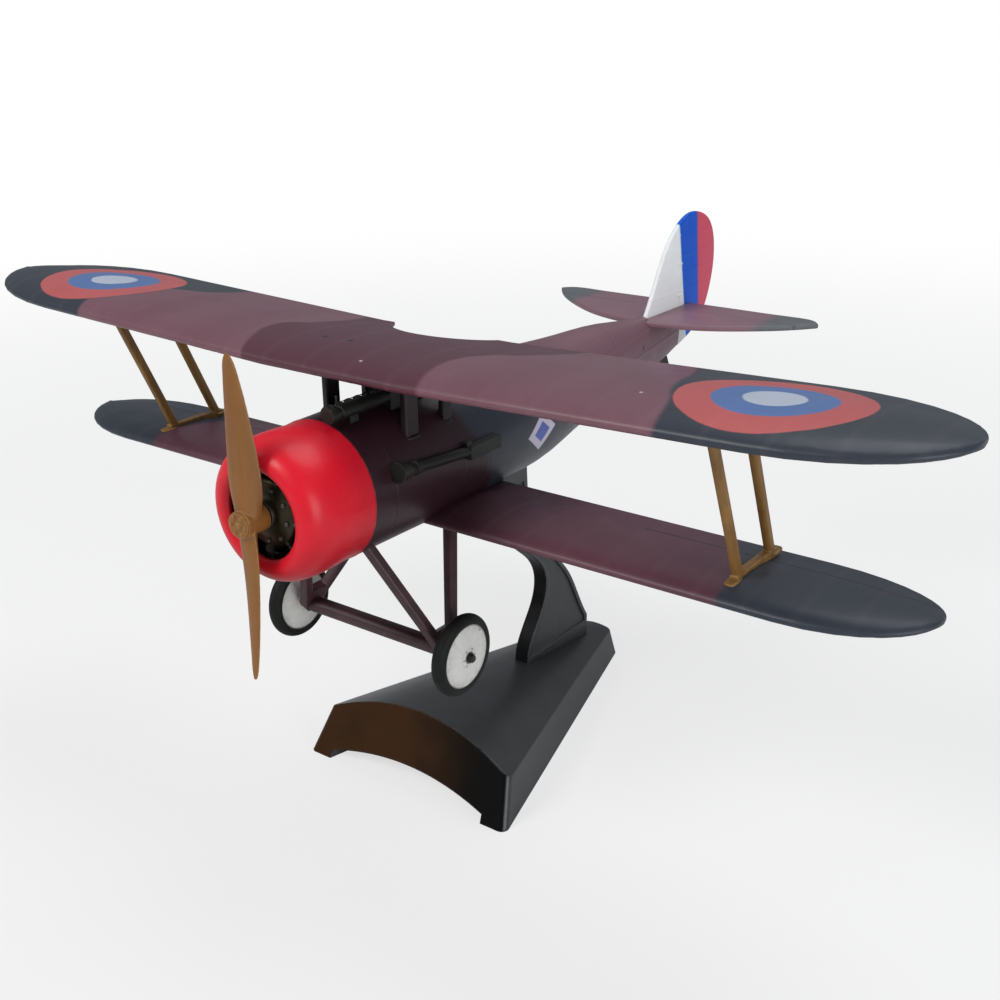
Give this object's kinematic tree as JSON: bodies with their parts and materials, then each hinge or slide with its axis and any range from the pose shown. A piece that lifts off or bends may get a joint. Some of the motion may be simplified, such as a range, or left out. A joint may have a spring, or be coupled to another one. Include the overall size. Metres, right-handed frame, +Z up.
{
  "type": "biplane display model",
  "caption": "Desk display model of a biplane on a wedge stand; the propeller and wheels spin and the aircraft lifts off its stand.",
  "frame": {"origin": "on the table, under the middle of the whole model's bounding box", "axes": "+X to the aircraft's port (left) side along the wings, +Y aft towards the tail, +Z up"},
  "size_m": [0.1632, 0.128, 0.0792],
  "materials": {
    "hull_paint": "satin",
    "tail_paint": "satin",
    "red_paint": "satin",
    "stand_black": "gloss",
    "tan_plastic": "matte",
    "gun_plastic": "matte",
    "tub_plastic": "matte",
    "steel": "brushed",
    "wheel_plastic": "matte",
    "tyre_rubber": "matte"
  },
  "bodies": {
    "stand": {"stand_base": "stand_black", "stand_arm": "stand_black", "stand_screw": "steel"},
    "aircraft": {"fuselage_port": "hull_paint", "fuselage_starboard": "hull_paint", "cockpit_tub": "tub_plastic", "cowling": "red_paint", "engine_block": "gun_plastic", "upper_wing": "hull_paint", "lower_wing": "hull_paint", "interplane_strut_port": "tan_plastic", "interplane_strut_starboard": "tan_plastic", "cabane_frame_port": "hull_paint", "cabane_frame_starboard": "hull_paint", "gear_leg_port": "hull_paint", "gear_leg_starboard": "hull_paint", "axle": "steel", "axle_fairing": "hull_paint", "axle_caps": "gun_plastic", "tailplane": "hull_paint", "fin_rudder": "tail_paint", "tail_skid": "gun_plastic", "top_gun": "gun_plastic", "side_gun": "gun_plastic"},
    "propeller": {"propeller": "tan_plastic", "propeller_shaft": "steel"},
    "port_wheel": {"wheel_disc_port": "wheel_plastic", "tyre_port": "tyre_rubber"},
    "starboard_wheel": {"wheel_disc_starboard": "wheel_plastic", "tyre_starboard": "tyre_rubber"}
  },
  "joints": [
    {"name": "aircraft_lift", "type": "slide", "parent": "stand", "child": "aircraft", "axis": [0, 0, 1], "range_m": [0, 0.006]},
    {"name": "propeller_spin", "type": "hinge", "parent": "aircraft", "child": "propeller", "pos_m": [0, -0.0625, 0.0555], "axis": [0, 1, 0], "continuous": true},
    {"name": "port_wheel_spin", "type": "hinge", "parent": "aircraft", "child": "port_wheel", "pos_m": [0.01585, -0.0387, 0.03103], "axis": [1, 0, 0], "continuous": true},
    {"name": "starboard_wheel_spin", "type": "hinge", "parent": "aircraft", "child": "starboard_wheel", "pos_m": [-0.01585, -0.0387, 0.03103], "axis": [1, 0, 0], "continuous": true}
  ]
}
